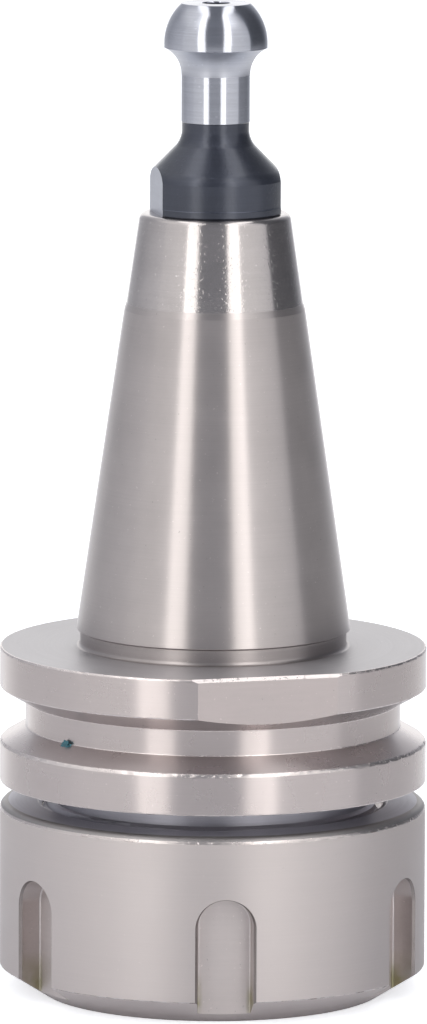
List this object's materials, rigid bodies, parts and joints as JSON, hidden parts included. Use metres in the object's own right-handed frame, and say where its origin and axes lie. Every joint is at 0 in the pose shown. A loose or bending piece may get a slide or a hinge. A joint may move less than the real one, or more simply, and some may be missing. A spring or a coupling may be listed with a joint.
{
  "type": "collet chuck holder",
  "caption": "Steep-taper tool holder with a grooved gripper flange, a slotted clamping nut over a spring collet, and a pull stud screwed into the taper's small end.",
  "frame": {"origin": "on the axis, at the clamping nut's front face, on which the holder stands", "axes": "+Z along the axis from the nut to the pull stud; -Y is the side with one of the two flats on the flange"},
  "size_m": [0.05, 0.05, 0.1164],
  "materials": {
    "ground_steel": "turned and ground hardened steel",
    "nut_steel": "satin ground outside, dark as hardened inside",
    "collet_steel": "ground spring steel",
    "stud_steel": "polished head and neck, black oxide collar"
  },
  "bodies": {
    "nut": {"clamping_nut": "nut_steel"},
    "collet": {"collet": "collet_steel"},
    "holder": {"holder_body": "ground_steel", "pull_stud": "stud_steel"}
  },
  "joints": [
    {"name": "nut_turn", "type": "hinge", "parent": "nut", "child": "collet", "pos_m": [0, 0, 0], "axis": [0, 0, 1], "range_deg": [0, 2880]},
    {"name": "screw_travel", "type": "slide", "parent": "collet", "child": "holder", "axis": [0, 0, 1], "range_m": [0, 0.0121]}
  ],
  "couplings": [
    {"joint": "screw_travel", "follows": "nut_turn", "m_per_rad": 0.00023873}
  ]
}
